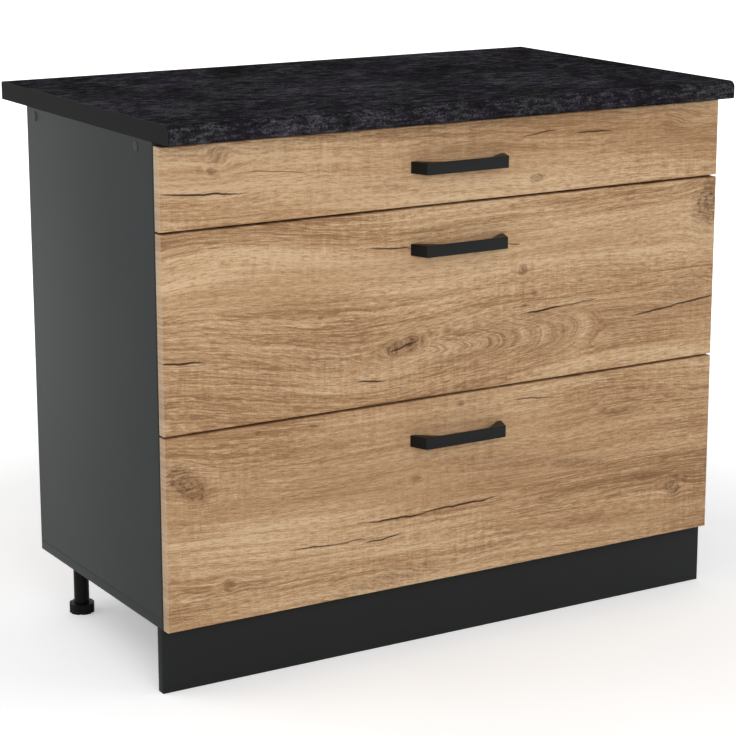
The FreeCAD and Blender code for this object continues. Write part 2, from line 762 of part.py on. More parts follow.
def make_drawer(level, base, low, high, back_height):
    make_front(level, low, high)
    make_handle(level, high)
    make_drawer_side(level, base)
    make_drawer_floor(level, base)
    make_drawer_back(level, base, back_height)
    make_front_brackets(level, base)
    rear = "front_back + drawer_roller_place"
    height = f"{base} + drawer_roller_height"
    make_rollers(f"drawer_rollers_{level}", "drawer_roller_in", "right", rear, height)
    if back_height == "deep_back_height":
        make_railing(level, base)


# ---- whole ----------------------------------------------------------------


def check_document():
    """Stops at anything that failed to build, before a file is written."""
    doc.recompute()
    for item in doc.Objects:
        if "Invalid" in item.State or "Error" in item.State:
            raise RuntimeError(f"{item.Label} failed: {item.State}")
    for item in nodes:
        if item.Shape.isNull() or not item.Shape.isValid() or not item.Shape.Solids:
            raise RuntimeError(f"{item.Label} has no valid solid")


def main():
    fill_sheet()
    make_sides()
    make_bottom_panel()
    make_rails()
    make_back_panel()
    make_cover_caps()
    make_worktop()
    make_worktop_brackets()
    make_bumpers()
    make_plinth()
    make_plinth_clips()
    make_legs()
    fixed_along = "carcass_front + runner_setback + runner_roller_inset"
    for level, (base, low, high, back_height) in DRAWERS.items():
        make_runner(level, base)
        place = f"{base} + runner_roller_height"
        make_rollers(f"runner_rollers_{level}", "runner_roller_in", "left", fixed_along, place)
        make_drawer(level, base, low, high, back_height)
    check_document()
    os.makedirs("parts", exist_ok=True)
    for item in nodes:
        item.Shape.exportStep(f"parts/{item.Label}.step")
    print(f"{len(nodes)} nodes, drawer travel {number('travel'):.1f} mm")


main()
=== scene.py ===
"""Looks of a kitchen base unit with three oak drawer fronts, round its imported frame."""

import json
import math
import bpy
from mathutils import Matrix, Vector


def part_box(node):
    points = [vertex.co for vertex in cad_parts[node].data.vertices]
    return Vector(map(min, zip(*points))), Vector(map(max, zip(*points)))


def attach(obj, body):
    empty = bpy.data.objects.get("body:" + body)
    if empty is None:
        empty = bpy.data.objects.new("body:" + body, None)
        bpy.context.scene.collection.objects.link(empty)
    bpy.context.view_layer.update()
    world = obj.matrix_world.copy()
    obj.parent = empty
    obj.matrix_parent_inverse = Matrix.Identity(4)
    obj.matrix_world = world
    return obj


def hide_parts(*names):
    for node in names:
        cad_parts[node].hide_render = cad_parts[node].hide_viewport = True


bl_info = {
    "name": "Drawer base unit",
    "version": (1, 0, 0),
    "blender": (4, 5, 0),
    "location": "View3D > Sidebar > Base unit",
    "description": "Finishes, eased edges, screws and stage of a kitchen base unit with drawers",
    "category": "Object",
}

import bmesh
import bpy
from bpy.props import FloatProperty, FloatVectorProperty, PointerProperty
from mathutils import Matrix, Vector

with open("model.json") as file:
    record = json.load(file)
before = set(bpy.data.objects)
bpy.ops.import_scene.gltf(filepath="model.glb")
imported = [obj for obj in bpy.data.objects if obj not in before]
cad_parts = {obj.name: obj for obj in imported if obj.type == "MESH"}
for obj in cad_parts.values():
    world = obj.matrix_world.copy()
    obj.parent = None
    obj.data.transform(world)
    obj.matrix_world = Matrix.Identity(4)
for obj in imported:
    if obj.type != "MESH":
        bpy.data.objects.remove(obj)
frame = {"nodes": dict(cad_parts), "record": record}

LEVELS = ("top", "middle", "low")
HANDS = {"left": -1, "right": 1}
BODY_OF = {
    node: body for body, nodes in frame["record"]["behaviour"]["bodies"].items() for node in nodes
}
SLOT_OF = {part["node"]: part["material_slot"] for part in frame["record"]["subparts"]}
MM = 0.001


def linear(code):
    """An sRGB hex colour such as #C0A080 as linear red, green, blue and alpha."""
    channels = [int(code[place : place + 2], 16) / 255 for place in (1, 3, 5)]
    return (*[c / 12.92 if c <= 0.04045 else ((c + 0.055) / 1.055) ** 2.4 for c in channels], 1.0)


def colour(name, code, description):
    """A colour that a user can change, from its hex code."""
    return FloatVectorProperty(
        name=name, description=description, default=linear(code), size=4, min=0, max=1, subtype="COLOR"
    )


def length(name, default, description):
    """A size that a user can change, in metres."""
    return FloatProperty(name=name, description=description, default=default, min=0, unit="LENGTH")


class BaseUnitLook(bpy.types.PropertyGroup):
    """Colours and small sizes that a user would change."""

    oak_light: colour("Oak light", "#D4B691", "Pale early wood of the oak decor")
    oak_middle: colour("Oak middle", "#B6926C", "Body colour of the oak decor")
    oak_dark: colour("Oak dark", "#8C6948", "Late wood lines of the oak decor")
    oak_red: colour("Oak heart", "#A67F59", "Warm heartwood bands of the oak decor")
    oak_knot: colour("Oak knot", "#573416", "Knots of the oak decor")
    oak_check: colour("Oak check", "#2E1402", "Open drying checks of the oak decor")
    # Painted light: the paler oak painted on the sideways ends of the fronts.
    oak_painted_end_light: colour("Oak stretched", "#DCC5A8", "Thinned print on the ends of the fronts")
    carcass: colour("Carcass", "#3B3E3E", "Anthracite melamine of the carcass")
    plinth: colour("Plinth", "#232424", "Dark melamine of the plinth")
    slate_dark: colour("Slate dark", "#1A191B", "Ground of the worktop")
    slate_middle: colour("Slate middle", "#28272A", "Body colour of the worktop")
    slate_light: colour("Slate light", "#58565D", "Mottling of the worktop")
    lipping: colour("Lipping", "#111111", "Plain strips on the worktop's ends")
    handle: colour("Handle", "#131414", "Powder coat of the bow handles")
    board_ease: length("Board edge", 0.9 * MM, "Easing of the board edges")
    handle_ease: length("Handle edge", 0.6 * MM, "Easing of the cast handles")
    sheet_ease: length("Sheet edge", 0.3 * MM, "Easing of the folded sheet")
    screw_radius: length("Screw head", 3.6 * MM, "Radius of a pan head screw")


def look():
    return bpy.context.scene.base_unit_look


# ---- materials ------------------------------------------------------------

# Sockets of a Mix node, which has one pair for numbers and one for colours.
FACTOR, NUMBER_A, NUMBER_B, COLOUR_A, COLOUR_B = 0, 2, 3, 6, 7


def add(tree, kind, inputs=(), stops=(), **settings):
    """Adds a shader node with its settings, and fills or links its inputs.

    Inputs come in the order of the node's sockets, or as a dict by socket name or number. So a
    Map Range node is given its value, then the range it comes from, then the one it goes to. A
    node given as an input stands for its first output in use.
    """
    node = tree.nodes.new(f"ShaderNode{kind}")
    for name, value in settings.items():
        setattr(node, name, value)
    filled = inputs if isinstance(inputs, dict) else dict(enumerate(inputs))
    for key, value in filled.items():
        if isinstance(value, bpy.types.Node):
            value = next(socket for socket in value.outputs if socket.enabled)
        if isinstance(value, bpy.types.NodeSocket):
            tree.links.new(value, node.inputs[key])
        else:
            node.inputs[key].default_value = value
    if stops:
        marks = node.color_ramp.elements
        while len(marks) < len(stops):
            marks.new(1.0)
        for mark, (position, shade) in zip(marks, stops):
            mark.position = position
            mark.color = shade
    return node


def socket_name(word):
    """The shader's own name of a socket, such as Specular IOR Level for specular_ior_level."""
    return word.replace("_", " ").title().replace("Ior", "IOR")


def start(name, **sockets):
    """A new material with its shader's constants set, as (material, tree, shader, place)."""
    material = bpy.data.materials.new(name)
    material.use_nodes = True
    tree = material.node_tree
    shader = tree.nodes["Principled BSDF"]
    for socket, value in sockets.items():
        shader.inputs[socket_name(socket)].default_value = value
    place = add(tree, "TexCoord").outputs["Object"]
    return material, tree, shader, place


def feed(tree, shader, **sockets):
    """Links nodes into the shader's inputs."""
    for name, node in sockets.items():
        socket = shader.inputs[socket_name(name)]
        tree.links.new(next(out for out in node.outputs if out.enabled), socket)


def seen_ray(tree):
    """One where the camera, a gloss or a clear body sees the surface, else zero."""
    path = add(tree, "LightPath")
    camera, glossy, clear = (
        path.outputs[f"Is {kind} Ray"] for kind in ("Camera", "Glossy", "Transmission")
    )
    first = add(tree, "Math", (camera, glossy), operation="MAXIMUM")
    return add(tree, "Math", (first, clear), operation="MAXIMUM")


def per_metre(size):
    """How many spots of a size in millimetres lie on a metre."""
    return 1 / (size * MM)


def weighed(tree, middle, weights):
    """A middle tone, lightened and darkened by noises, each by its weight."""
    tone = middle - sum(weight for _, weight in weights) / 2
    for noise, weight in weights:
        tone = add(tree, "Math", (noise, weight, tone), operation="MULTIPLY_ADD")
    return tone


# ---- oak decor ------------------------------------------------------------

# Where each front's decor has its knots: x, z, half length and half height in millimetres,
# tilt in degrees, darkness, and how far the grain swells round it and is dragged along, in
# half heights and half lengths. Faint wide ones are dark bands, and some only bend the grain.
KNOTS = {
    "top": [
        (-407, 797, 22, 14, -20, 0.40, 0.9, 0.0),
        (-416, 776, 8, 5, 0, 0.95, 0.7, 0.0),
        (-435, 780, 6, 5, 0, 0.50, 0.5, 0.0),
        (-215, 764, 6, 5, 0, 0.45, 0.7, 0.0),
        (-125, 727, 32, 6, -4, 0.40, 0.4, 0.0),
        (-345, 730, 28, 7, 0, 0.30, 0.5, 0.0),
        (145, 720, 13, 6, 0, 1.0, 0.9, 0.0),
        (415, 786, 34, 18, 20, 0.16, 0.35, 0.1),
    ],
    "middle": [
        (-97, 482, 40, 12, 8, 1.0, 1.2, 0.0),
        (486, 652, 30, 38, -20, 1.0, 0.4, 0.3),
        (121, 577, 9, 8, 0, 1.0, 0.8, 0.0),
        (142, 538, 6, 4, 0, 1.0, 0.4, 0.0),
        (-240, 544, 5, 4, 0, 0.75, 0.4, 0.0),
        (125, 520, 4, 3, 0, 1.00, 0.3, 0.0),
        (232, 550, 10, 5, 0, 0.35, 0.5, 0.0),
        (120, 470, 150, 28, 0, 0.16, 0.0, 0.0),
        (10, 405, 12, 6, 0, 0.55, 0.6, 0.0),
        (440, 512, 44, 14, 10, 0.42, 0.6, 0.0),
        (40, 480, 400, 34, 0, 0.24, 0.0, 0.0),
        (-340, 470, 210, 50, 0, 0.12, 0.0, 0.22),
        (-300, 645, 150, 40, 0, 0.0, 0.0, 0.15),
    ],
    "low": [
        (-464, 322, 42, 20, -42, 1.0, 0.4, 0.2),
        (-397, 156, 9, 9, 0, 0.65, 0.8, 0.0),
        (427, 178, 17, 12, -15, 1.0, 0.9, 0.0),
        (434, 196, 6, 4, 0, 0.80, 0.3, 0.0),
        (452, 190, 6, 5, 0, 0.80, 0.3, 0.0),
        (365, 208, 26, 6, -5, 0.60, 0.4, 0.0),
        (230, 250, 66, 8, -9, 0.62, 0.4, 0.0),
        (80, 274, 95, 13, -8, 0.42, 0.3, 0.0),
        (320, 325, 44, 6, -4, 0.50, 0.4, 0.0),
        (-75, 269, 12, 8, 0, 0.40, 0.7, 0.0),
        (-257, 379, 12, 4, 0, 0.60, 0.4, 0.0),
        (-347, 383, 5, 3, 0, 0.75, 0.4, 0.0),
        (7, 379, 7, 5, 0, 0.75, 0.4, 0.0),
        (-110, 118, 95, 11, 4, 0.50, 0.4, 0.1),
    ],
}

# Drying checks: x and z of both ends and half width in millimetres, and darkness.
CHECKS = {
    "top": [
        (-505, 749, -360, 741, 1.3, 0.95),
        (-372, 771, -250, 761, 0.8, 0.6),
        (118, 786, 182, 789, 1.0, 0.75),
        (215, 785, 288, 782, 1.2, 0.85),
    ],
    "middle": [
        (-510, 506, -432, 500, 1.4, 0.95),
        (-160, 641, -75, 629, 1.0, 0.9),
        (90, 621, 116, 619, 0.9, 0.8),
        (126, 508, 200, 511, 1.4, 1.0),
        (185, 510, 268, 517, 0.9, 0.7),
        (332, 481, 425, 489, 1.3, 0.9),
        (405, 489, 515, 497, 1.4, 0.9),
        (-180, 438, -127, 435, 1.2, 0.9),
        (-122, 478, -72, 487, 1.3, 0.9),
    ],
    "low": [
        (-165, 215, -50, 212, 1.3, 0.95),
        (-66, 213, 78, 219, 1.4, 0.95),
        (-290, 193, -206, 189, 1.0, 0.85),
        (-214, 190, -160, 188, 0.9, 0.75),
        (-168, 182, -98, 186, 1.2, 0.9),
        (-495, 141, -180, 145, 0.9, 0.4),
        (104, 371, 184, 366, 1.0, 0.75),
    ],
}

# Cathedral figure of a front's decor: x where its arches start and are widest, then the
# middle, half length and half height of the place where it shows, in millimetres.
ARCHES = {"middle": (-70, 270, (95, 470), 215, 44)}

# Slope of each front's grain, where its noises start, and a painted lift of its tone: the top front is
# painted lighter against the shadow of the worktop's overhang, and the low front darker.
GRAIN = {"top": (-0.035, 3.1, 0.09), "middle": (0.0, 17.4, 0.0), "low": (-0.03, 41.7, -0.05)}

# Noises of the decor: length along the grain and width across it in millimetres, detail,
# roughness, and a start of their own. Real fibres and pores are a third of a millimetre wide,
# and the foil's embossing is finer still; all are drawn at about two so that they show.
OAK_NOISES = {
    "wander": (625, 200, 1.0, 0.55, 0.0),
    "ripple": (111.11, 50, 2.0, 0.55, 0.0),
    "blotches": (6.25, 6.25, 3.0, 0.55, 0.0),
    "broad": (769.23, 90.909, 2.0, 0.55, 5.0),
    "bands": (384.62, 21.739, 3.0, 0.55, 9.0),
    "lines": (312.5, 6.6667, 4.0, 0.65, 2.0),
    "fibres": (16.667, 2.0833, 3.0, 0.7, 7.0),
    "pores": (16.667, 2.381, 1.0, 0.55, 11.0),
    "emboss": (2.381, 2.381, 2.0, 0.55, 27.0),
    "rays": (6.6667, 45.455, 2.0, 0.55, 4.0),
    "ray_patches": (250, 111.11, 1.0, 0.55, 0.0),
    "heart": (909.09, 125, 2.0, 0.55, 13.0),
    "shaking": (71.429, 166.67, 3.0, 0.55, 21.0),
}
SEED_RATIO = 1.7  # starts a noise elsewhere across the grain than along it
GRAIN_WANDER = 45 * MM  # how far the grain may stray over half a metre
GRAIN_RIPPLE = 4.5 * MM  # and over a decimetre
RING_WIDTH = 13.333  # from one growth ring to the next, in millimetres
RING_WAVER = 7.0  # by how many rings the bands push the rings aside
KNOT_FADE = 0.62  # share of a knot's pull on the grain that is left at its outline
KNOT_TURNS = 15.0  # phase that a knot's rings gain from its middle to its outline
KNOT_WAVER = 7.0  # phase by which blotches break those rings up
ARCH_RIPPLE = 30 * MM  # how far an arch may stray
ARCH_SPREAD = 2.0  # how much closer the rings lie in the arches
CHECK_WANDER = 10 * MM  # how far a check may stray
CHECK_SPREAD = (1.1, 1.35)  # a check's oval is this much longer and wider, because its rim fades
OAK_TONE = 0.57  # middle of the decor's tones, from 0 for late wood to 1 for early wood


class OakDecor:
    """The nodes that the patterns of one front's decor share."""

    def __init__(self, tree, place, level):
        self.tree = tree
        self.level = level
        self.slope, self.seed, self.painted_lift = GRAIN[level]
        axes = add(tree, "SeparateXYZ", [place])
        self.along, self.up = axes.outputs["X"], axes.outputs["Z"]
        self.flat = add(tree, "CombineXYZ", (self.along, self.up))
        self.ripple = self.noise("ripple", self.flat)

    def noise(self, name, carrier):
        """One of the decor's noises, on a carrier whose X runs along the grain."""
        long, wide, detail, rough, start_at = OAK_NOISES[name]
        scale = (per_metre(long), per_metre(wide), 0)
        begin = (self.seed + start_at, self.seed * SEED_RATIO + start_at, 0)
        spread = add(self.tree, "VectorMath", (carrier, scale, begin), operation="MULTIPLY_ADD")
        spots = {"Vector": spread, "Scale": 1.0, "Detail": detail, "Roughness": rough}
        return add(self.tree, "TexNoise", spots, noise_dimensions="2D")

    def oval(self, carrier, middle, reach, rise, turn=0.0):
        """A carrier in half lengths and half heights of an oval, and its squared length."""
        place = (middle[0] * MM, middle[1] * MM, 0)
        sizes = (reach * MM, rise * MM, 1)
        spot = add(
            self.tree, "Mapping", (carrier, place, (0, 0, turn), sizes), vector_type="TEXTURE"
        )
        return spot, add(self.tree, "VectorMath", (spot, spot), operation="DOT_PRODUCT")

    def straight_flow(self):
        """The height of the grain, which slopes, wanders and ripples along the board."""
        wander = self.noise("wander", self.flat)
        flow = self.up
        strays = (
            (wander, GRAIN_WANDER),
            (self.along, -self.slope),
            (self.ripple, GRAIN_RIPPLE),
        )
        for stray, reach in strays:
            flow = add(self.tree, "Math", (stray, reach, flow), operation="MULTIPLY_ADD")
        return flow

    def knots(self, flow):
        """The flow as it swells round the knots, with their darkness and their rings."""
        tree = self.tree
        blotches = self.noise("blotches", self.flat)
        waver = add(tree, "Math", (blotches, KNOT_WAVER), operation="MULTIPLY")
        darkness, all_rings = 0.0, 0.0
        for x, z, reach, rise, tilt, dark, swell, drag in KNOTS[self.level]:
            spot, square = self.oval(self.flat, (x, z), reach, rise, math.radians(tilt))
            fade = add(tree, "Math", (KNOT_FADE, square), operation="POWER")
            bend = (reach * MM * drag, -rise * MM * swell, 0)
            pull = add(tree, "VectorMath", (spot, bend), operation="DOT_PRODUCT")
            flow = add(tree, "Math", (pull, fade, flow), operation="MULTIPLY_ADD")
            # The core has a ragged rim, and fades to nothing over it.
            ragged = add(tree, "Math", (blotches, 2.0, square), operation="MULTIPLY_ADD")
            core = add(tree, "MapRange", (ragged, 2.7, 1.3, 0.0, dark))
            distance = add(tree, "Math", (square,), operation="SQRT")
            phase = add(tree, "Math", (distance, KNOT_TURNS, waver), operation="MULTIPLY_ADD")
            rings = add(tree, "Math", (phase,), operation="SINE")
            rings = add(tree, "Math", (rings, core), operation="MULTIPLY")
            ground = add(tree, "Math", (core, 0.6), operation="MULTIPLY")
            ringed = add(tree, "Math", (rings, 0.35, ground), operation="MULTIPLY_ADD")
            darkness = add(tree, "Math", (darkness, ringed), operation="MAXIMUM")
            all_rings = add(tree, "Math", (all_rings, rings), operation="ADD")
        return flow, darkness, all_rings

    def figure(self, height):
        """Bands, fine lines and late wood of the growth rings that lie at this height."""
        tree = self.tree
        carrier = add(tree, "CombineXYZ", (self.along, height))
        bands = self.noise("bands", carrier)
        lines = self.noise("lines", carrier)
        rings = add(tree, "Math", (height, per_metre(RING_WIDTH)), operation="MULTIPLY")
        count = add(tree, "Math", (bands, RING_WAVER, rings), operation="MULTIPLY_ADD")
        ring = add(tree, "Math", (count,), operation="FRACT")
        # Each ring darkens slowly and ends in a thin line of late wood.
        late = add(tree, "MapRange", (ring, 0.5, 0.96, 0.0, 1.0))
        return bands, lines, late

    def cathedral(self, plain, shown):
        """The figure and how much late wood shows, with nested arches in one oval of the board."""
        tree = self.tree
        first, widest, middle, reach, rise = ARCHES[self.level]
        rippled = add(tree, "Math", (self.ripple, ARCH_RIPPLE, self.up), operation="MULTIPLY_ADD")
        heart = middle[1] * MM + ARCH_RIPPLE / 2
        above = add(tree, "Math", (rippled, heart), operation="SUBTRACT")
        # The arches' heart lies 3 mm deep at their start, and sinks as they open out.
        depth = add(tree, "MapRange", (self.along, first * MM, widest * MM, 3 * MM, 1.4 * rise * MM))
        across = add(tree, "CombineXYZ", (above, depth))
        radius = add(tree, "VectorMath", (across,), operation="LENGTH").outputs["Value"]
        height = add(tree, "Math", (radius, ARCH_SPREAD), operation="MULTIPLY")
        _, square = self.oval(self.flat, middle, reach, rise)
        ragged = add(tree, "Math", (self.ripple, square), operation="ADD")
        inside = add(tree, "MapRange", (ragged, 1.7, 1.0, 0.0, 1.0))
        figure = [
            add(tree, "Mix", {FACTOR: inside, NUMBER_A: straight, NUMBER_B: arched})
            for straight, arched in zip(plain, self.figure(height))
        ]
        return figure, add(tree, "Mix", {FACTOR: inside, NUMBER_A: shown, NUMBER_B: 0.4})

    def checks(self):
        """Darkness of the drying checks, which wander by a few millimetres."""
        tree = self.tree
        shaking = self.noise("shaking", self.flat)
        offset = add(
            tree, "Math", (shaking, CHECK_WANDER, -CHECK_WANDER / 2), operation="MULTIPLY_ADD"
        )
        aside = add(tree, "CombineXYZ", {"Y": offset})
        shaken = add(tree, "VectorMath", (self.flat, aside), operation="ADD")
        split = 0.0
        for x0, z0, x1, z1, half_width, dark in CHECKS[self.level]:
            reach = math.hypot(x1 - x0, z1 - z0) / 2 * CHECK_SPREAD[0]
            rise = half_width * CHECK_SPREAD[1]
            middle = ((x0 + x1) / 2, (z0 + z1) / 2)
            _, square = self.oval(shaken, middle, reach, rise, math.atan2(z1 - z0, x1 - x0))
            mask = add(tree, "MapRange", (square, 1.0, 0.5, 0.0, dark))
            split = add(tree, "Math", (split, mask), operation="MAXIMUM")
        return split


def oak_foil(level):
    """Oak decor foil over MDF, embossed with the pores: satin, warm, with open dark checks."""
    material, tree, shader, place = start(f"oak_decor_foil_{level}", specular_ior_level=0.2)
    decor = OakDecor(tree, place, level)
    flow, knot_dark, knot_rings = decor.knots(decor.straight_flow())
    grained = add(tree, "CombineXYZ", (decor.along, flow))
    broad = decor.noise("broad", grained)
    shown = add(tree, "MapRange", (broad, 0.4, 0.6, 0.40, 0.10))
    figure = decor.figure(flow)
    if level in ARCHES:
        figure, shown = decor.cathedral(figure, shown)
    bands, lines, late = figure
    fibres = decor.noise("fibres", grained)
    pores = decor.noise("pores", grained)
    emboss = decor.noise("emboss", decor.flat)

    weights = ((broad, 0.95), (bands, 0.5), (lines, 1.1), (fibres, 1.3), (emboss, 0.5))
    # Each front's tone carries its painted light: lighter on the top front, darker on the low one.
    tone = weighed(tree, OAK_TONE + decor.painted_lift, weights)
    tone = add(tree, "Math", (knot_rings, 0.2, tone), operation="MULTIPLY_ADD")
    # Rays cross the grain, mostly in patches.
    rays = add(tree, "Math", (decor.noise("rays", decor.flat), 0.5), operation="SUBTRACT")
    ray_patches = decor.noise("ray_patches", decor.flat)
    rayed = add(tree, "MapRange", (ray_patches, 0.45, 0.62, 0.05, 0.4))
    tone = add(tree, "Math", (rays, rayed, tone), operation="MULTIPLY_ADD")
    late = add(tree, "Math", (late, shown), operation="MULTIPLY")
    tone = add(tree, "Math", (tone, late), operation="SUBTRACT")

    stops = [(0.08, look().oak_dark), (0.5, look().oak_middle), (0.92, look().oak_light)]
    wood = add(tree, "ValToRGB", [tone], stops)
    warm = add(tree, "MapRange", (decor.noise("heart", grained), 0.48, 0.68, 0.0, 0.4))
    pore_mask = add(tree, "MapRange", (pores, 0.60, 0.70, 0.0, 0.4))
    streaky = add(tree, "MapRange", (fibres, 0.38, 0.6, 1.0, 0.65))
    knot_mask = add(tree, "Math", (knot_dark, streaky), operation="MULTIPLY")
    split = decor.checks()
    # Painted light: faces that turn sideways, the ends of the fronts and their rounded edges, are
    # painted paler for the light they catch.
    facing = add(tree, "SeparateXYZ", [place.node.outputs["Normal"]]).outputs["X"]
    turned_away = add(tree, "Math", [facing], operation="ABSOLUTE")
    painted_end_light = add(tree, "MapRange", (turned_away, 0.3, 0.9, 0.0, 0.4))
    layers = (
        (warm, look().oak_red),
        (pore_mask, look().oak_dark),
        (knot_mask, look().oak_knot),
        (split, look().oak_check),
        (painted_end_light, look().oak_painted_end_light),
    )
    for mask, shade in layers:
        inputs = {FACTOR: mask, COLOUR_A: wood, COLOUR_B: shade}
        wood = add(tree, "Mix", inputs, data_type="RGBA")

    rough = add(tree, "Math", (tone, -0.12, 0.62), operation="MULTIPLY_ADD")
    # Lines stand up a little, and checks and pores are sunk.
    relief = add(tree, "Math", (split, -0.4), operation="MULTIPLY")
    relief = add(tree, "Math", (lines, 0.5, relief), operation="MULTIPLY_ADD")
    relief = add(tree, "Math", (relief, pore_mask), operation="SUBTRACT")
    bump = add(tree, "Bump", {"Strength": 0.35, "Distance": 0.5 * MM, "Height": relief})
    feed(tree, shader, base_color=wood, roughness=rough, normal=bump)
    return material


# ---- other finishes -------------------------------------------------------

# Noises of the slate print: size in millimetres, detail, roughness and distortion.
SLATE_NOISES = {
    "clouds": (142.86, 5.0, 0.6, 0.8),
    "patches": (19.231, 5.0, 0.68, 0.6),
    "grit": (3.125, 2.0, 0.6, 0.0),
    "tint": (111.11, 2.0, 0.6, 0.0),
}
STROKE = (22.222, 5.2632)  # length and width of the print's brush strokes, in millimetres
SLAB = (500 * MM, 620 * MM)  # width and depth of the slabs that the print is laid out in
SLAB_SHIFT = (465 * MM, 310 * MM, 0)  # puts their joints where they lie on the worktop
CLOUD_SIZE = 166.67  # of the faint clouds in an even finish, in millimetres
HARDBOARD_FIBRE = 2.381  # real ones are half a millimetre wide, and would not show
ROLLING = (71.429, 1.1111)  # length and width of rolling marks on sheet, in millimetres
SPANGLE = 6.25  # size of the zinc's crystals, in millimetres


def worktop_laminate():
    """High-pressure laminate with a slate print: matt, nearly black, cloudy and faintly violet."""
    material, tree, shader, place = start("slate_laminate", specular_ior_level=0.0)
    noises = {}
    for name, (size, detail, rough, distortion) in SLATE_NOISES.items():
        spots = {"Vector": place, "Scale": per_metre(size), "Detail": detail, "Roughness": rough}
        noises[name] = add(tree, "TexNoise", {**spots, "Distortion": distortion})
    long, wide = STROKE
    scale = (per_metre(long), per_metre(wide), per_metre(wide))
    brushed = add(tree, "VectorMath", (place, scale), operation="MULTIPLY")
    spots = {"Vector": brushed, "Scale": 1.0, "Detail": 3.0, "Roughness": 0.65}
    strokes = add(tree, "TexNoise", spots)
    # The slabs differ a little in shade.
    slabs = add(
        tree,
        "TexBrick",
        {
            "Vector": add(tree, "VectorMath", (place, SLAB_SHIFT), operation="ADD"),
            "Color1": (0, 0, 0, 1),
            "Color2": (1, 1, 1, 1),
            "Mortar": (0.5, 0.5, 0.5, 1),
            "Scale": 1.0,
            "Mortar Size": 0.0,
            "Brick Width": SLAB[0],
            "Row Height": SLAB[1],
        },
        offset=0.0,
    )
    weights = (
        (noises["clouds"], 1.1),
        (noises["patches"], 1.1),
        (strokes, 1.7),
        (noises["grit"], 1.3),
    )
    tone = weighed(tree, 0.5, weights)
    tone = add(tree, "Math", (slabs, 0.08, tone), operation="MULTIPLY_ADD")
    stops = [(0.1, look().slate_dark), (0.5, look().slate_middle), (1.0, look().slate_light)]
    ground = add(tree, "ValToRGB", [tone], stops)
    # The shade turns from faintly green to faintly violet.
    tints = [(0.36, linear("#ECF0E8")), (0.5, linear("#EFEDEF")), (0.64, linear("#F4EBF6"))]
    tint = add(tree, "ValToRGB", [noises["tint"]], tints)
    inputs = {FACTOR: 1.0, COLOUR_A: ground, COLOUR_B: tint}
    slate = add(tree, "Mix", inputs, data_type="RGBA", blend_type="MULTIPLY")
    rough = add(tree, "Math", (noises["patches"], 0.2, 0.55), operation="MULTIPLY_ADD")
    bump = add(tree, "Bump", {"Strength": 0.3, "Distance": 0.4 * MM, "Height": tone})
    feed(tree, shader, base_color=slate, roughness=rough, normal=bump)
    return material


def mottled(name, base, grain, spread, depth=0.1 * MM, rough=(0.45, 0.6), **sockets):
    """A nearly even surface: its grain, a size in millimetres, varies shade, gloss and relief.

    The real grains are a few tenths of a millimetre; they are drawn coarser so that they show.
    """
    material, tree, shader, place = start(name, **sockets)
    fine = add(tree, "TexNoise", {"Vector": place, "Scale": per_metre(grain), "Detail": 3.0})
    cloud = add(tree, "TexNoise", {"Vector": place, "Scale": per_metre(CLOUD_SIZE), "Detail": 4.0})
    both = add(tree, "Math", (fine, cloud), operation="MULTIPLY")
    shade = add(tree, "MapRange", (both, 0.15, 0.35, 1 - spread, 1 + spread))
    tinted = add(tree, "VectorMath", {0: base[:3], "Scale": shade}, operation="SCALE")
    gloss = add(tree, "MapRange", (fine, 0.3, 0.7, *rough))
    bump = add(tree, "Bump", {"Strength": 0.3, "Distance": depth, "Height": fine})
    feed(tree, shader, base_color=tinted, roughness=gloss, normal=bump)
    return material


def hardboard():
    """Hardboard back: grey lacquer inside, bare brown pressed fibre at the rear."""
    material, tree, shader, place = start("lacquered_hardboard", roughness=0.6)
    stretched = add(tree, "VectorMath", (place, (1, 1, 1.6)), operation="MULTIPLY")
    scale = per_metre(HARDBOARD_FIBRE)
    spots = {"Vector": stretched, "Scale": scale, "Detail": 5.0, "Distortion": 1.5}
    fibres = add(tree, "TexNoise", spots)
    browns = [(0.3, linear("#6B4A2E")), (0.52, linear("#8A6543")), (0.72, linear("#A98459"))]
    brown = add(tree, "ValToRGB", [fibres], browns)
    depth = add(tree, "SeparateXYZ", [place]).outputs["Y"]
    middle = sum(corner.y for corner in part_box("back_panel")) / 2
    rear = add(tree, "Math", (depth, middle), operation="GREATER_THAN")
    sides = {FACTOR: rear, COLOUR_A: linear("#575959"), COLOUR_B: brown}
    both = add(tree, "Mix", sides, data_type="RGBA")
    bump = add(tree, "Bump", {"Strength": 0.3, "Distance": 0.2 * MM, "Height": fibres})
    feed(tree, shader, base_color=both, normal=bump)
    return material


def zinc_plate():
    """Zinc-plated sheet: bright blue-grey metal, rolled along its length, with faint spangle."""
    material, tree, shader, place = start("zinc_plated_steel", metallic=1.0, roughness=0.35)
    lengthwise, across = (per_metre(size) for size in ROLLING)
    scale = (across, lengthwise, across)
    rolled = add(tree, "VectorMath", (place, scale), operation="MULTIPLY")
    marks = add(tree, "TexNoise", {"Vector": rolled, "Scale": 1.0, "Detail": 3.0})
    spangle = add(tree, "TexVoronoi", {"Vector": place, "Scale": per_metre(SPANGLE)})
    streaks = add(tree, "Math", (marks, 0.6), operation="MULTIPLY")
    flakes = spangle.outputs["Distance"]
    shade = add(tree, "Math", (flakes, 0.35, streaks), operation="MULTIPLY_ADD")
    metal = add(tree, "ValToRGB", [shade], [(0.2, linear("#A9ACAF")), (0.65, linear("#D3D6D8"))])
    gloss = add(tree, "MapRange", (marks, 0.3, 0.7, 0.26, 0.42))
    bump = add(tree, "Bump", {"Strength": 0.15, "Distance": 0.1 * MM, "Height": marks})
    feed(tree, shader, base_color=metal, roughness=gloss, normal=bump)
    return material


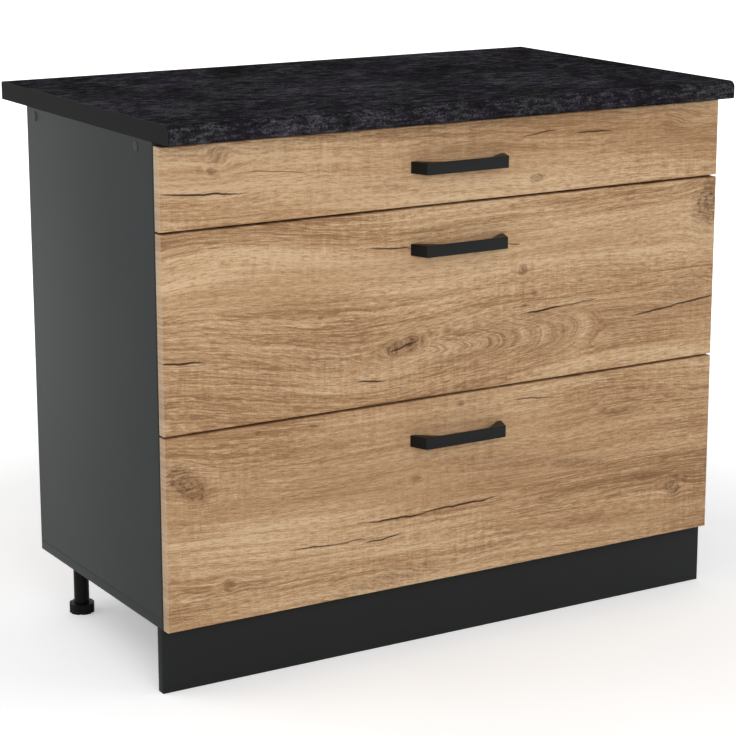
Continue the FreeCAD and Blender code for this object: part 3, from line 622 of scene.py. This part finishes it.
def make_finishes():
    """Every material of the unit by its slot in the record; the fronts have their own."""
    grey = linear("#A7AAAC")
    board = {"rough": (0.5, 0.62), "specular_ior_level": 0.1}
    satin = {"rough": (0.35, 0.45)}
    lipping = {"rough": (0.45, 0.55), "specular_ior_level": 0.03}
    handle = {"rough": (0.36, 0.48), "specular_ior_level": 0.14}
    leg = {"rough": (0.4, 0.55), "specular_ior_level": 0.1}
    cap = {"rough": (0.42, 0.5), "specular_ior_level": 0.08}
    rubber = {"rough": (0.2, 0.3)}
    peel = 0.2 * MM
    return {
        # Melamine-faced chipboard pressed with a fine pearl: matt, even, little sheen.
        "carcass_board": mottled("anthracite_melamine", look().carcass, 1.1111, 0.04, **board),
        "plinth_board": mottled("dark_melamine", look().plinth, 1.1111, 0.05, **board),
        "drawer_board": mottled("light_grey_melamine", linear("#B9B8B4"), 1.1111, 0.03),
        # ABS lipping, scraped flush: plain, matt, a little smoother than the laminate.
        "edge_strip": mottled("black_abs_lipping", look().lipping, 1.6667, 0.05, **lipping),
        # Zinc die casting under black powder coat: fine orange peel, low satin gloss.
        "handle_black": mottled("powder_coated_zinc", look().handle, 0.90909, 0.08, peel, **handle),
        # Steel under silver grey powder coat: satin, with a fine orange peel.
        "side_steel": mottled("grey_powder_coated_steel", grey, 0.83333, 0.03, **satin),
        # Natural nylon, moulded: waxy off-white.
        "nylon": mottled("natural_nylon", linear("#DAD8CE"), 2.0, 0.03, **satin),
        # Black polypropylene, moulded against a spark-eroded tool: matt and slightly grainy.
        "leg_plastic": mottled("black_polypropylene", linear("#101010"), 0.66667, 0.1, peel, **leg),
        # Polyethylene caps, moulded a little smoother than the board they sit on.
        "cap_plastic": mottled("anthracite_polyethylene", linear("#353838"), 1.1111, 0.04, **cap),
        # Clear soft polyurethane seen over dark board.
        "bumper_rubber": mottled("soft_polyurethane", linear("#8E8F8C"), 2.5, 0.04, **rubber),
        "hardboard": hardboard(),
        "zinc_steel": zinc_plate(),
        "worktop_laminate": worktop_laminate(),
    }


# The materials by slot, which MakeFinishes fills in.
FINISH = {}


# ---- pieces ---------------------------------------------------------------

WELD = 0.001 * MM  # corners nearer than this are one corner
FLAT = math.radians(1)  # faces that meet at less than this are one face
SHARP = math.radians(30)  # edges that turn by more than this are eased


def piece(name, bm, body, slot, material=None, replaced=(), smooth_under=math.radians(40)):
    """Turns a bmesh into an object of the unit that rides on its body."""
    mesh = bpy.data.meshes.new(name)
    bm.to_mesh(mesh)
    bm.free()
    mesh.shade_smooth()
    mesh.set_sharp_from_angle(angle=smooth_under)
    mesh.materials.append(material or FINISH[slot])
    thing = bpy.data.objects.new(name, mesh)
    bpy.context.scene.collection.objects.link(thing)
    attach(thing, body)
    if replaced:
        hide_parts(*replaced)
    return thing


def paint(node, material=None):
    """Gives a node of the frame its finish."""
    for holder in frame["nodes"][node].material_slots:
        holder.material = material or FINISH[SLOT_OF[node]]


def eased_copy(node, width, material=None, segments=2):
    """A node's own shape with every sharp edge eased, in place of the node."""
    bm = bmesh.new()
    bm.from_mesh(frame["nodes"][node].data)
    bmesh.ops.remove_doubles(bm, verts=bm.verts, dist=WELD)
    bmesh.ops.dissolve_limit(
        bm, angle_limit=FLAT, use_dissolve_boundaries=False, verts=bm.verts, edges=bm.edges
    )
    sharp = [e for e in bm.edges if len(e.link_faces) == 2 and e.calc_face_angle() > SHARP]
    bmesh.ops.bevel(
        bm,
        geom=sharp,
        offset=width,
        offset_type="OFFSET",
        segments=segments,
        profile=0.5,
        affect="EDGES",
        clamp_overlap=True,
        material=-1,
    )
    name = f"{node}_eased"
    return piece(name, bm, BODY_OF[node], SLOT_OF[node], material, [node], math.radians(35))


def turned(profile, steps=32):
    """A closed bmesh from a profile of (radius, height) points spun round the Z axis."""
    bm = bmesh.new()
    points = [bm.verts.new((radius, 0, height)) for radius, height in profile]
    runs = [bm.edges.new(pair) for pair in zip(points, points[1:])]
    bmesh.ops.spin(
        bm,
        geom=points + runs,
        cent=(0, 0, 0),
        axis=(0, 0, 1),
        angle=math.tau,
        steps=steps,
        use_merge=True,
    )
    bmesh.ops.remove_doubles(bm, verts=bm.verts, dist=WELD)
    bmesh.ops.recalc_face_normals(bm, faces=bm.faces)
    return bm


def stamped(pattern, spots):
    """Copies of a bmesh that stands on the XY plane, at (place, outward direction) pairs."""
    master = bpy.data.meshes.new("pattern")
    pattern.to_mesh(master)
    pattern.free()
    bm = bmesh.new()
    for place, outward in spots:
        before = len(bm.verts)
        bm.from_mesh(master)
        bm.verts.ensure_lookup_table()
        turn = Vector((0, 0, 1)).rotation_difference(Vector(outward)).to_matrix().to_4x4()
        bmesh.ops.transform(bm, matrix=Matrix.Translation(place) @ turn, verts=bm.verts[before:])
    bpy.data.meshes.remove(master)
    return bm


def cross_head(radius):
    """A pan head with a cross recess, standing on the XY plane."""
    bm = bmesh.new()
    height = radius * 0.5
    arm, half = radius * 0.52, radius * 0.13
    quarter = [(arm, -half), (arm, half), (half, half)]
    outline = []
    for turn in range(4):
        outline += [Matrix.Rotation(turn * math.pi / 2, 2) @ Vector(point) for point in quarter]
    floor = bm.faces.new([bm.verts.new((x, y, height * 0.25)) for x, y in outline])
    rim = list(floor.edges)
    # From the recess's floor up to its mouth, and over the crown down to the board: how far
    # out as a share of the radius, and how high as a share of the height.
    rings = ((None, 1.0), (0.72, 1.0), (0.93, 0.72), (1.0, 0.3), (1.0, 0.0))
    for share, rise in rings:
        grown = bmesh.ops.extrude_edge_only(bm, edges=rim)["geom"]
        rim = [item for item in grown if isinstance(item, bmesh.types.BMEdge)]
        for vert in (item for item in grown if isinstance(item, bmesh.types.BMVert)):
            if share:
                vert.co.xy = vert.co.xy.normalized() * radius * share
            vert.co.z = height * rise
    bmesh.ops.contextual_create(bm, geom=rim)
    bmesh.ops.recalc_face_normals(bm, faces=bm.faces)
    return bm


def heads(name, body, spots):
    """Screw heads at (place, outward direction) pairs, as one piece."""
    pattern = cross_head(look().screw_radius)
    return piece(name, stamped(pattern, spots), body, "zinc_steel")


def both_hands(rows, outward):
    """Spots on the left, given in millimetres, and their mirror images on the right."""
    found = []
    for side in HANDS.values():
        across = Vector((-side * outward[0], outward[1], outward[2]))
        found += [(Vector((-side * x, y, z)) * MM, across) for x, y, z in rows]
    return found


def mm_box(node):
    """A node's lowest and highest corners in millimetres."""
    low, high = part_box(node)
    return low / MM, high / MM


# ---- operators ------------------------------------------------------------


class MakeFinishes(bpy.types.Operator):
    """Makes the materials and paints the nodes of the frame"""

    bl_idname = "base_unit.finishes"
    bl_label = "Finishes"

    def execute(self, context):
        FINISH.update(make_finishes())
        for node in frame["nodes"]:
            if SLOT_OF[node] in FINISH:
                paint(node)
        return {"FINISHED"}


class MakeFronts(bpy.types.Operator):
    """Gives each drawer front its own run of oak decor"""

    bl_idname = "base_unit.fronts"
    bl_label = "Drawer fronts"

    def execute(self, context):
        for level in LEVELS:
            paint(f"front_{level}", oak_foil(level))
        return {"FINISHED"}


class MakeCarcass(bpy.types.Operator):
    """Eases the edges of the carcass boards and the plinth"""

    bl_idname = "base_unit.carcass"
    bl_label = "Carcass boards"

    def execute(self, context):
        boards = ["side_left", "side_right", "bottom_panel", "plinth_panel", "front_rail", "rear_rail"]
        boards += [f"drawer_back_{level}" for level in LEVELS]
        for node in boards:
            eased_copy(node, look().board_ease)
        return {"FINISHED"}


class MakeHandles(bpy.types.Operator):
    """Softens the arrises of the cast bow handles"""

    bl_idname = "base_unit.handles"
    bl_label = "Bow handles"

    def execute(self, context):
        for level in LEVELS:
            eased_copy(f"handle_{level}", look().handle_ease, segments=3)
        return {"FINISHED"}


class MakeSheetMetal(bpy.types.Operator):
    """Breaks the edges of the runners and the drawer sides"""

    bl_idname = "base_unit.sheet_metal"
    bl_label = "Sheet metal"

    def execute(self, context):
        for level in LEVELS:
            for hand in HANDS:
                eased_copy(f"runner_{level}_{hand}", look().sheet_ease)
                eased_copy(f"drawer_side_{level}_{hand}", look().sheet_ease)
        return {"FINISHED"}


# Section of a cover cap from its crown to its rim and back: shares of its radius and height.
CAP_DOME = ((0, 1.0), (0.62, 0.98), (0.8, 0.9), (0.92, 0.68), (0.98, 0.35), (1.0, 0.0), (0, 0.0))


class MakeCoverCaps(bpy.types.Operator):
    """Domes the cover caps on the side panels"""

    bl_idname = "base_unit.cover_caps"
    bl_label = "Cover caps"

    def execute(self, context):
        low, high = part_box("cover_caps")
        radius = (high.z - low.z) / 2
        rise = high.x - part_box("side_right")[1].x
        pattern = turned([(share * radius, up * rise) for share, up in CAP_DOME])
        spots = [
            (Vector((side * (high.x - rise), y, low.z + radius)), (side, 0, 0))
            for side in HANDS.values()
            for y in (low.y + radius, high.y - radius)
        ]
        bm = stamped(pattern, spots)
        piece("cover_caps_domed", bm, "cabinet", "cap_plastic", replaced=["cover_caps"])
        return {"FINISHED"}


# Thickness of what the screws go through, in millimetres.
RUNNER_SHEET = 1.2
BRACKET_PLATE = 2.0
LEG_PLATE = 4.0
CLIP_PLATE = 3.0

# Places of the screws, in millimetres.
RUNNER_SCREWS = (39, 184, 344)  # behind a runner's front end
RUNNER_SCREWS_UP = 12.6  # over a runner's foot
FLOOR_SCREWS = (48, 198, 338)  # behind the front end of a drawer's side
FRONT_SCREWS_UP = (34, 66)  # over a drawer side's foot
BACK_SCREWS_UP = (32, 64)  # over a drawer side's foot
LEG_SCREWS = (-16, 16)  # from the middle of a leg's plate
CLIP_SCREWS = (-14, 14)  # from the middle of a plinth clip
HANDLE_FOOT = 4  # from a handle's end to its screw
BRACKET_FOOT = 11  # from a front bracket's outer face to its screws into the front
BRACKET_REACH = 20  # from the front to a front bracket's screws into the drawer's side
LEDGE = 10  # from a drawer side's inner edge to the screws into the drawer's floor
BACK_LIP = 7.5  # from a front bracket's outer face to the screws into the drawer's back
ANGLE_REACH = 16  # from the corner of a worktop bracket to its screws
ANGLE_HALF = 10  # from the end of the row of worktop brackets to the first one's screws


class MakeScrews(bpy.types.Operator):
    """Adds the screw heads that show when the drawers are open or from below"""

    bl_idname = "base_unit.screws"
    bl_label = "Screws"

    def execute(self, context):
        for level in LEVELS:
            heads(f"drawer_screws_{level}", f"drawer_{level}", self.drawer_spots(level))
        heads("carcass_screws", "cabinet", self.carcass_spots())
        return {"FINISHED"}

    def drawer_spots(self, level):
        """Through the front into its handle, and in the brackets, the floor and the back."""
        rear_face = mm_box(f"front_{level}")[1].y
        low, high = mm_box(f"handle_{level}")
        grip, foot = (low.z + high.z) / 2, high.x - HANDLE_FOOT
        spots = [(Vector((x, rear_face, grip)) * MM, (0, 1, 0)) for x in (-foot, foot)]
        outer = mm_box(f"front_brackets_{level}")[0].x
        low, high = mm_box(f"drawer_side_{level}_left")
        base, front_end, rear_end = low.z, low.y, high.y
        into_front = (outer + BRACKET_FOOT, rear_face + BRACKET_PLATE)
        into_side = (outer + BRACKET_PLATE, rear_face + BRACKET_REACH)
        ledge = high.x - LEDGE
        spots += both_hands([(*into_front, base + up) for up in FRONT_SCREWS_UP], (0, 1, 0))
        spots += both_hands([(*into_side, base + up) for up in FRONT_SCREWS_UP], (1, 0, 0))
        spots += both_hands([(ledge, front_end + y, base) for y in FLOOR_SCREWS], (0, 0, -1))
        into_back = [(outer + BACK_LIP, rear_end, base + up) for up in BACK_SCREWS_UP]
        return spots + both_hands(into_back, (0, 1, 0))

    def carcass_spots(self):
        """In the runners, the worktop brackets, the legs' plates and the plinth clips."""
        spots = []
        inner = mm_box("side_left")[1].x
        for level in LEVELS:
            low = mm_box(f"runner_{level}_left")[0]
            x, z = inner + RUNNER_SHEET, low.z + RUNNER_SCREWS_UP
            spots += both_hands([(x, low.y + y, z) for y in RUNNER_SCREWS], (1, 0, 0))
        low, high = mm_box("worktop_brackets")
        for y in (low.y + ANGLE_HALF, high.y - ANGLE_HALF):
            spots += both_hands([(inner + ANGLE_REACH, y, high.z - BRACKET_PLATE)], (0, 0, -1))
            spots += both_hands([(inner + BRACKET_PLATE, y, high.z - ANGLE_REACH)], (1, 0, 0))
        for end in ("front", "rear"):
            low, high = mm_box(f"leg_{end}_left")
            middle = (low + high) / 2
            plate = [(x, y, high.z - LEG_PLATE) for x in LEG_SCREWS for y in LEG_SCREWS]
            corners = [(middle.x + x, middle.y + y, z) for x, y, z in plate]
            spots += both_hands(corners, (0, 0, -1))
        # The clips stand in line with the legs.
        low, high = mm_box("plinth_clips")
        y, z = low.y + CLIP_PLATE, (low.z + high.z) / 2
        return spots + both_hands([(middle.x + x, y, z) for x in CLIP_SCREWS], (0, 1, 0))


# The stage in metres. The floor glows from GLOW_STARTS to GLOW_ENDS away from the unit, so that
# it meets the white background without an edge.
FLOOR_HALF = 15.0
GLOW_STARTS, GLOW_ENDS = 0.9, 2.2
GLOW_NEAR = 0.35  # glow of the floor by the unit, where 1 is white
FLOOR_PATCH = 333.33  # size of the faint patches in its paint, in millimetres
WORLD_LIGHT = 0.5  # strength of the white world as a light; where it is seen it has 1
LAMPS = {  # place and width in metres, and power in watts
    "key": ((-1.1, -3.4, 1.7), 2.4, 49.0),
    "fill": ((2.6, -2.4, 1.6), 2.0, 12.0),
    "rear": ((-2.3, 1.3, 2.9), 2.0, 22.0),
}
LAMPS_AIM = Vector((0, 0, 0.45))
VIEWPOINT = (-1.899, -3.1812, 1.3006)
TILT_DOWN, TURN_RIGHT = 13.05, 31.19  # of the camera, in degrees
SENSOR = 36.0  # width in millimetres
LENS = 114.16  # focal length in millimetres
LENS_SHIFT = (-0.02, -0.05)  # in widths of the picture
VIEW_ENDS = 50.0


class MakeStage(bpy.types.Operator):
    """Adds the floor, the studio light and the camera"""

    bl_idname = "base_unit.stage"
    bl_label = "Stage"

    def execute(self, context):
        scene = context.scene
        bm = bmesh.new()
        bmesh.ops.create_grid(bm, x_segments=1, y_segments=1, size=FLOOR_HALF)
        mesh = bpy.data.meshes.new("floor")
        bm.to_mesh(mesh)
        bm.free()
        floor = bpy.data.objects.new("floor", mesh)
        scene.collection.objects.link(floor)
        mesh.materials.append(self.floor_paint())
        self.light_world(scene)
        self.hang_lamps(scene)
        self.place_camera(scene)
        scene.view_settings.view_transform = "Standard"
        return {"FINISHED"}

    def floor_paint(self):
        """White studio floor: it keeps the shadow near the unit and fades into the background."""
        material, tree, shader, place = start(
            "white_studio_floor", roughness=0.9, emission_color=(1, 1, 1, 1)
        )
        scale = per_metre(FLOOR_PATCH)
        spots = add(tree, "TexNoise", {"Vector": place, "Scale": scale, "Detail": 2.0})
        tone = add(tree, "ValToRGB", [spots], [(0.3, linear("#F2F2F2")), (0.7, linear("#F6F6F6"))])
        far = add(tree, "VectorMath", [place], operation="LENGTH").outputs["Value"]
        glow = add(tree, "MapRange", (far, GLOW_STARTS, GLOW_ENDS, GLOW_NEAR, 1.0))
        glow = add(tree, "Math", (glow, seen_ray(tree)), operation="MULTIPLY")
        feed(tree, shader, base_color=tone, emission_strength=glow)
        return material

    def light_world(self, scene):
        world = bpy.data.worlds.new("studio")
        world.use_nodes = True
        scene.world = world
        tree = world.node_tree
        back = tree.nodes["Background"]
        back.inputs["Color"].default_value = (1, 1, 1, 1)
        strength = add(tree, "MapRange", (seen_ray(tree), 0.0, 1.0, WORLD_LIGHT, 1.0))
        tree.links.new(strength.outputs[0], back.inputs["Strength"])

    def hang_lamps(self, scene):
        for name, (place, width, power) in LAMPS.items():
            data = bpy.data.lights.new(name, "AREA")
            data.size = width
            data.energy = power
            lamp = bpy.data.objects.new(name, data)
            lamp.location = place
            aim = LAMPS_AIM - lamp.location
            lamp.rotation_euler = aim.to_track_quat("-Z", "Y").to_euler()
            scene.collection.objects.link(lamp)

    def place_camera(self, scene):
        data = bpy.data.cameras.new("camera")
        data.sensor_width = SENSOR
        data.lens = LENS
        data.shift_x, data.shift_y = LENS_SHIFT
        data.clip_end = VIEW_ENDS
        camera = bpy.data.objects.new("camera", data)
        camera.location = VIEWPOINT
        camera.rotation_euler = (math.radians(90 - TILT_DOWN), 0, math.radians(-TURN_RIGHT))
        scene.collection.objects.link(camera)
        scene.camera = camera


MAKERS = (
    MakeStage,
    MakeFinishes,
    MakeFronts,
    MakeCarcass,
    MakeHandles,
    MakeSheetMetal,
    MakeCoverCaps,
    MakeScrews,
)


class BaseUnitPanel(bpy.types.Panel):
    """Lists what the unit's looks are made of"""

    bl_idname = "VIEW3D_PT_base_unit"
    bl_label = "Base unit"
    bl_space_type = "VIEW_3D"
    bl_region_type = "UI"
    bl_category = "Base unit"

    def draw(self, context):
        for maker in MAKERS:
            self.layout.operator(maker.bl_idname)
        for name in BaseUnitLook.__annotations__:
            self.layout.prop(look(), name)


CLASSES = (BaseUnitLook, *MAKERS, BaseUnitPanel)


def register():
    for item in CLASSES:
        bpy.utils.register_class(item)
    bpy.types.Scene.base_unit_look = PointerProperty(type=BaseUnitLook)


def unregister():
    del bpy.types.Scene.base_unit_look
    for item in reversed(CLASSES):
        bpy.utils.unregister_class(item)


def main():
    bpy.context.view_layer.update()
    register()
    for maker in MAKERS:
        group, name = maker.bl_idname.split(".")
        getattr(getattr(bpy.ops, group), name)()


if __name__ == "__main__":
    main()
